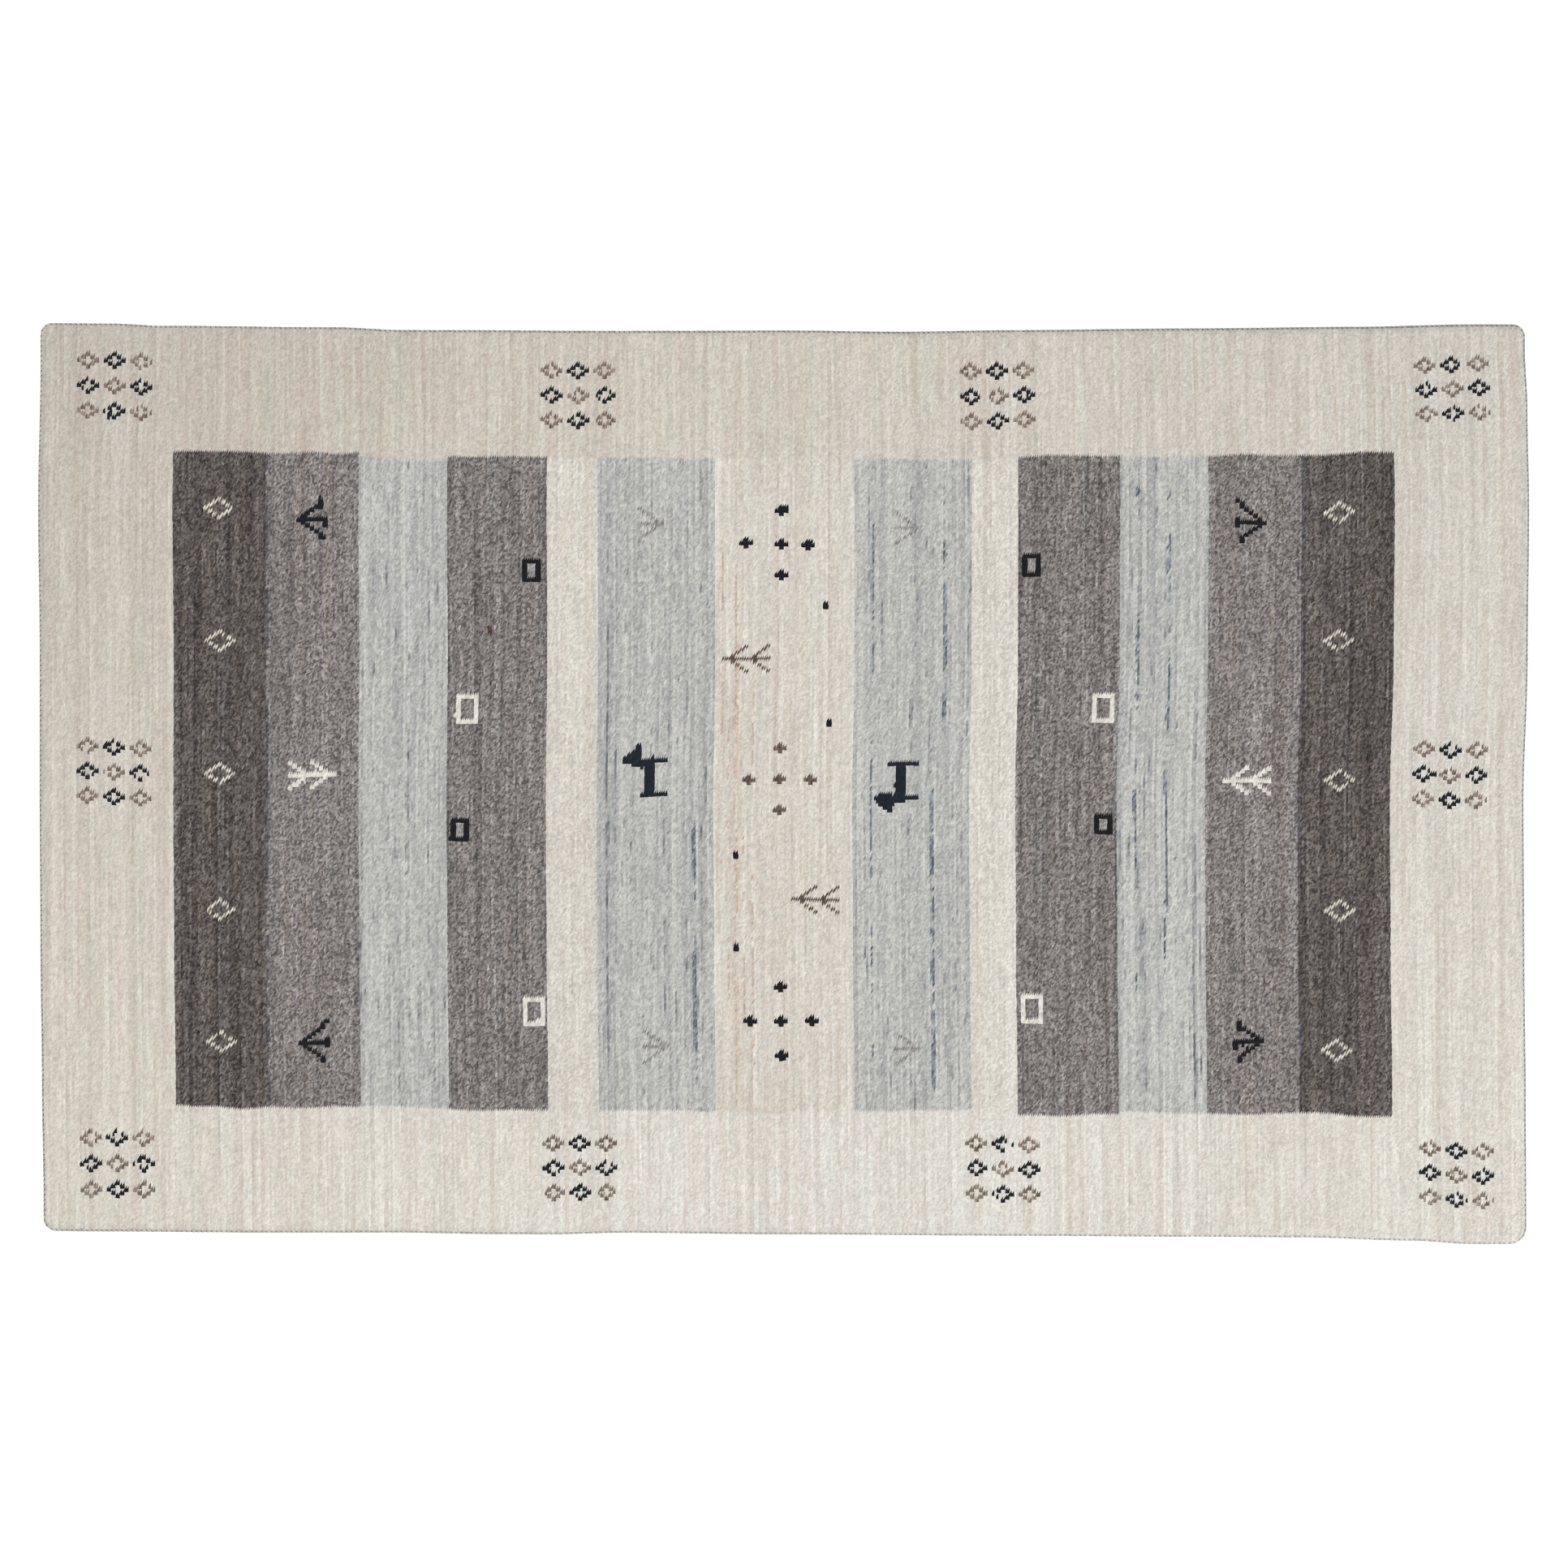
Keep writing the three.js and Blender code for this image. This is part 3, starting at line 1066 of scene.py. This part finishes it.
def make_pile_grid():
    """The top of the whole pile: nominal places, and real points, for each tuft's corners."""
    across = np.linspace(-LENGTH / 2 + PILE_INSET, LENGTH / 2 - PILE_INSET, TUFTS_ACROSS + 1)
    along = np.linspace(-WIDTH / 2 + PILE_INSET, WIDTH / 2 - PILE_INSET, KNOTS + 1)
    x, y = np.meshgrid(across, along, indexing="ij")
    inset = np.minimum(LENGTH / 2 - np.abs(x), WIDTH / 2 - np.abs(y))
    insets, heights = zip(*PILE_SECTION)
    height = np.interp(inset, insets, heights)
    height = lifted(x, y, height) + TUFT_HEIGHT_VARIES * weaver.standard_normal(x.shape).clip(-2, 2)
    real_x, real_y = on_rug(x, y)
    push_x, push_y = pushed_aside(yarn_of_tuft)
    real_x = real_x + push_x + TUFT_PLACE_VARIES * weaver.uniform(-1, 1, x.shape)
    real_y = real_y + push_y + TUFT_PLACE_VARIES * weaver.uniform(-1, 1, x.shape)
    return np.stack([x, y], axis=-1), np.stack([real_x, real_y, height], axis=-1)


def make_pile_part(name, first_row, last_row, material, nominal, points):
    """One length of pile: its top, and its side down over the edge cord."""
    first = 2 * first_row
    last = 2 * last_row
    lines = KNOTS + 1
    top = points[first : last + 1].reshape(-1, 3)
    flat = nominal[first : last + 1].reshape(-1, 2)
    low_left, low_right, high_right, high_left = grid_squares(last - first + 1, lines)
    faces = [np.stack([low_left, low_right, high_right], 1), np.stack([low_left, high_right, high_left], 1)]
    colours = [half[first:last].reshape(-1, 4) for half in wool_of_halves()]
    all_points = [top]
    all_flat = [flat]
    count = len(top)
    for rim in rim_chains(last - first + 1, lines, first == 0, last == TUFTS_ACROSS):
        tuft = (first + rim[:-1] // lines).clip(0, TUFTS_ACROSS - 1)
        rim_colour = wool[tuft, (rim % lines)[:-1]]
        above = rim
        unrolled = 0
        previous = PILE_SECTION[0]
        for inset, height in UNDER_SECTION:
            unrolled += math.dist(previous, (inset, height))
            previous = (inset, height)
            x = flat[rim, 0] * (LENGTH / 2 - inset) / (LENGTH / 2 - PILE_INSET)
            y = flat[rim, 1] * (WIDTH / 2 - inset) / (WIDTH / 2 - PILE_INSET)
            real_x, real_y = on_rug(x, y)
            ragged = SIDE_VARIES * weaver.uniform(-1, 1, (3, len(rim))) * (height > WALL_HEIGHT)
            ring = np.stack([real_x, real_y, lifted(x, y, height)] + ragged, axis=1)
            outward = 1 + unrolled / np.array([LENGTH / 2 - PILE_INSET, WIDTH / 2 - PILE_INSET])
            below = count + np.arange(len(rim))
            count += len(rim)
            all_points.append(ring)
            all_flat.append(flat[rim] * outward)
            faces.append(band_faces(below[:-1], below[1:], above[:-1], above[1:]))
            colours.append(np.tile(rim_colour, (2, 1)))
            above = below
    return make_piece(
        name,
        np.concatenate(all_points),
        np.concatenate(faces),
        material,
        colours=np.concatenate(colours),
        flat_map=fit_map(np.concatenate(all_flat)),
    )


pile_material = make_pile_material()
pile_nominal, pile_points = make_pile_grid()
for part_name, part_first, part_last in PILE_PARTS:
    part = make_pile_part(part_name, part_first, part_last, pile_material, pile_nominal, pile_points)
    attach(part, "root")
    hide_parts("pile_and_ground")


# Edge cords
# The selvages and turned-in warp ends, each a bundle of warps overcast with thick wool, one turn close
# beside the next. Every cord runs from the middle of one corner to the middle of the next, half hidden
# by the pile.

# A cord's thickness, the gap to the next cord, the pitch of its turns of wool, the steps in a turn and
# the sides round the cord that model them, and how deep the groove between two turns is
CORD = 6
CORD_GAP = 0.3
WRAP_PITCH = 5.2
STEPS_A_WRAP = 6
CORD_SIDES = 12
GROOVE = 0.5
CORD_NODES = ["side_cord_front", "end_cord_right", "side_cord_back", "end_cord_left"]

# The wool of each cord, and the painted shade in the grooves between its turns, as the share of the wool's
# colour left there
CORD_WOOLS_AND_GROOVE_SHADES = [
    ((218, 213, 203), 0.55),
    ((186, 188, 181), 0.42),
    ((192, 190, 181), 0.45),
    ((200, 192, 180), 0.35),
]

# How wide the painted shade in a groove is, on a scale where 1 is the whole turn, and how round a turn of
# wool is
PAINTED_GROOVE_SHADE_WIDTH = 0.45
TURN_ROUNDNESS = 0.6

# How much the turns of wool differ, in shade and in thickness
TURN_SHADE_VARIES = 0.08
TURN_RADIUS_VARIES = 0.03

# The winding ends askew, so a few more shades of wool are drawn than a cord has turns
SPARE_TURNS = 3

# A cord's line is first followed in this many short steps, and it stays this far above the floor
LINE_STEPS = 4000
CORD_CLEARS = 0.05

# The cords' shade, with what the fibres and the soil of use add to it
CORD_SHADE = 0.62
CORD_FIBRE_SHADE = 0.4
CORD_SOIL_SHADE = 0.3


def make_cord_material():
    """Overcasting wool: a twisted yarn, with fine fibres across the cord."""
    material, wire = new_material("edge wool")
    wrap = wire.node("ShaderNodeVertexColor", {"layer_name": "yarn"}, {})
    place = wire.node("ShaderNodeTexCoord", {}, {}, "Object")
    fibre = wire.node("ShaderNodeTexNoise", {}, {"Vector": place, "Scale": 1300, "Detail": 3}, "Fac")
    soil = wire.node("ShaderNodeTexNoise", {}, {"Vector": place, "Scale": 45, "Detail": 2}, "Fac")
    bump = wire.node("ShaderNodeBump", {}, {"Strength": 0.6, "Distance": 0.0005, "Height": fibre})
    shade = CORD_SHADE + fibre * CORD_FIBRE_SHADE + soil * CORD_SOIL_SHADE
    surface = wire.node(
        "ShaderNodeBsdfPrincipled",
        {},
        {
            "Base Color": shaded(wire, wrap, shade),
            "Roughness": 0.9,
            "Specular IOR Level": 0.2,
            "Normal": bump,
        },
    )
    wire.node("ShaderNodeOutputMaterial", {}, {"Surface": surface})
    return material


def make_cord(number, material):
    """One overcast cord, with a groove winding between its turns of wool, and painted shade in that groove.
    """
    reach = np.array([LENGTH / 2 - CORD / 2, WIDTH / 2 - CORD / 2])
    ways = [(-1, -1), (1, -1), (1, 1), (-1, 1)]
    start = reach * ways[number]
    end = reach * ways[(number + 1) % 4]
    share = np.linspace(0, 1, LINE_STEPS + 1)[:, None]
    line = np.stack(on_rug(*(start + (end - start) * share).T), axis=1)
    gone = np.concatenate([[0], np.cumsum(np.linalg.norm(np.diff(line, axis=0), axis=1))])
    wraps = round((gone[-1] - CORD_GAP) / WRAP_PITCH)
    stations = np.linspace(CORD_GAP / 2, gone[-1] - CORD_GAP / 2, wraps * STEPS_A_WRAP + 1)
    middle = np.stack([np.interp(stations, gone, line[:, axis]) for axis in (0, 1)], axis=1)
    forward = np.gradient(middle, axis=0)
    forward = forward / np.linalg.norm(forward, axis=1)[:, None]
    inward = np.stack([-forward[:, 1], forward[:, 0]], axis=1)
    angle = 2 * math.pi * np.arange(CORD_SIDES) / CORD_SIDES
    turns = (np.arange(len(stations)) / STEPS_A_WRAP)[:, None] + angle[None, :] / (2 * math.pi)
    radius = CORD / 2 - GROOVE * (1 - np.abs(np.sin(math.pi * turns)) ** TURN_ROUNDNESS)
    radius = radius * (1 - TURN_RADIUS_VARIES * weaver.random(radius.shape))
    sideways = radius * np.cos(angle)
    x = middle[:, 0:1] + inward[:, 0:1] * sideways
    y = middle[:, 1:2] + inward[:, 1:2] * sideways
    z = np.maximum(CORD / 2 + radius * np.sin(angle), CORD_CLEARS)
    points = np.stack([x, y, z], axis=-1).reshape(-1, 3)
    station, side = np.meshgrid(np.arange(len(stations) - 1), np.arange(CORD_SIDES), indexing="ij")
    here = (station * CORD_SIDES + side).ravel()
    beside = (station * CORD_SIDES + (side + 1) % CORD_SIDES).ravel()
    faces = np.concatenate(
        [
            np.stack([here, beside, beside + CORD_SIDES], 1),
            np.stack([here, beside + CORD_SIDES, here + CORD_SIDES], 1),
        ]
    )
    middle_turn = (turns[:-1] + 0.5 / STEPS_A_WRAP + 0.5 / CORD_SIDES).ravel()
    wrap_of_face = np.tile(middle_turn.astype(int), 2)
    # Painted shade: the faces along the groove between two turns are darkened by the cord's groove share,
    # in place of the shade that falls into the groove. The other faces take each turn's own shade of wool.
    in_painted_groove_shade = np.tile(np.abs(np.sin(math.pi * middle_turn)) < PAINTED_GROOVE_SHADE_WIDTH, 2)
    wrap_shade = 1 + TURN_SHADE_VARIES * weaver.standard_normal(wraps + SPARE_TURNS)
    cord_wool, painted_groove_shade = CORD_WOOLS_AND_GROOVE_SHADES[number]
    wool_colour = np.array([*linear(cord_wool) * DYE_STRENGTH, 1])
    colours = np.tile(wool_colour, (len(faces), 1))
    colours[:, :3] *= np.where(in_painted_groove_shade, painted_groove_shade, wrap_shade[wrap_of_face])[:, None]
    fan = np.arange(1, CORD_SIDES - 1)
    final = len(points) - CORD_SIDES
    caps = np.concatenate(
        [
            np.stack([np.zeros_like(fan), fan + 1, fan], 1),
            np.stack([np.full_like(fan, final), final + fan, final + fan + 1], 1),
        ]
    )
    cap_colours = np.tile(wool_colour, (len(caps), 1))
    return make_piece(
        "overcast_" + CORD_NODES[number],
        points,
        np.concatenate([faces, caps]),
        material,
        colours=np.concatenate([colours, cap_colours]),
    )


cord_material = make_cord_material()
for cord_number, cord_node in enumerate(CORD_NODES):
    cord = make_cord(cord_number, cord_material)
    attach(cord, "root")
    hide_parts(cord_node)


# Floor, light and camera
# The rug is photographed from straight above, small in a long lens, on a plain white floor under wide
# soft lights on either side. Places and sizes here are in metres.
FLOOR_SIZE = 14
FLOOR_DROP = 0.0008
FLOOR_SHADE = 0.92
FLOOR_GLOW = 0.25
CAMERA_HEIGHT = 6.132
CAMERA_PLACE = (0.0004, 0.0003)
LENS = 135
ROOM_LIGHT = 0.75

# Each lamp's place, its size, and its power in watts
LAMPS = {"key": ((2.2, -1.8, 2.6), 2.4, 110), "fill": ((-2.2, 1.8, 2.6), 2.4, 90)}


def make_floor():
    """A plain white floor."""
    material, wire = new_material("white floor")
    white = (FLOOR_SHADE, FLOOR_SHADE, FLOOR_SHADE, 1)
    surface = wire.node(
        "ShaderNodeBsdfPrincipled",
        {},
        {"Base Color": white, "Roughness": 0.8, "Emission Color": white, "Emission Strength": FLOOR_GLOW},
    )
    wire.node("ShaderNodeOutputMaterial", {}, {"Surface": surface})
    half = FLOOR_SIZE / 2
    mesh = bpy.data.meshes.new("floor")
    corners = [(-half, -half), (half, -half), (half, half), (-half, half)]
    mesh.from_pydata([(x, y, -FLOOR_DROP) for x, y in corners], [], [(0, 1, 2, 3)])
    mesh.materials.append(material)
    floor = bpy.data.objects.new("floor", mesh)
    bpy.context.collection.objects.link(floor)
    return floor


def add_lamp(name, place, size, watts):
    """A square soft light, aimed at the rug and not seen by the camera."""
    lamp = bpy.data.lights.new(name, "AREA")
    lamp.shape = "SQUARE"
    lamp.size = size
    lamp.energy = watts
    holder = bpy.data.objects.new(name, lamp)
    holder.location = place
    aim = -holder.location
    holder.rotation_euler = aim.to_track_quat("-Z", "Y").to_euler()
    holder.visible_camera = False
    bpy.context.collection.objects.link(holder)


make_floor()
for lamp_name, (lamp_place, lamp_size, lamp_watts) in LAMPS.items():
    add_lamp(lamp_name, lamp_place, lamp_size, lamp_watts)

world = bpy.data.worlds.new("soft room")
world.use_nodes = True
background = world.node_tree.nodes["Background"]
background.inputs["Color"].default_value = (1, 1, 1, 1)
background.inputs["Strength"].default_value = ROOM_LIGHT
bpy.context.scene.world = world
bpy.context.scene.view_settings.view_transform = "Standard"

camera = bpy.data.objects.new("camera", bpy.data.cameras.new("camera"))
camera.data.lens = LENS
camera.location = (*CAMERA_PLACE, CAMERA_HEIGHT)
bpy.context.collection.objects.link(camera)
bpy.context.scene.camera = camera
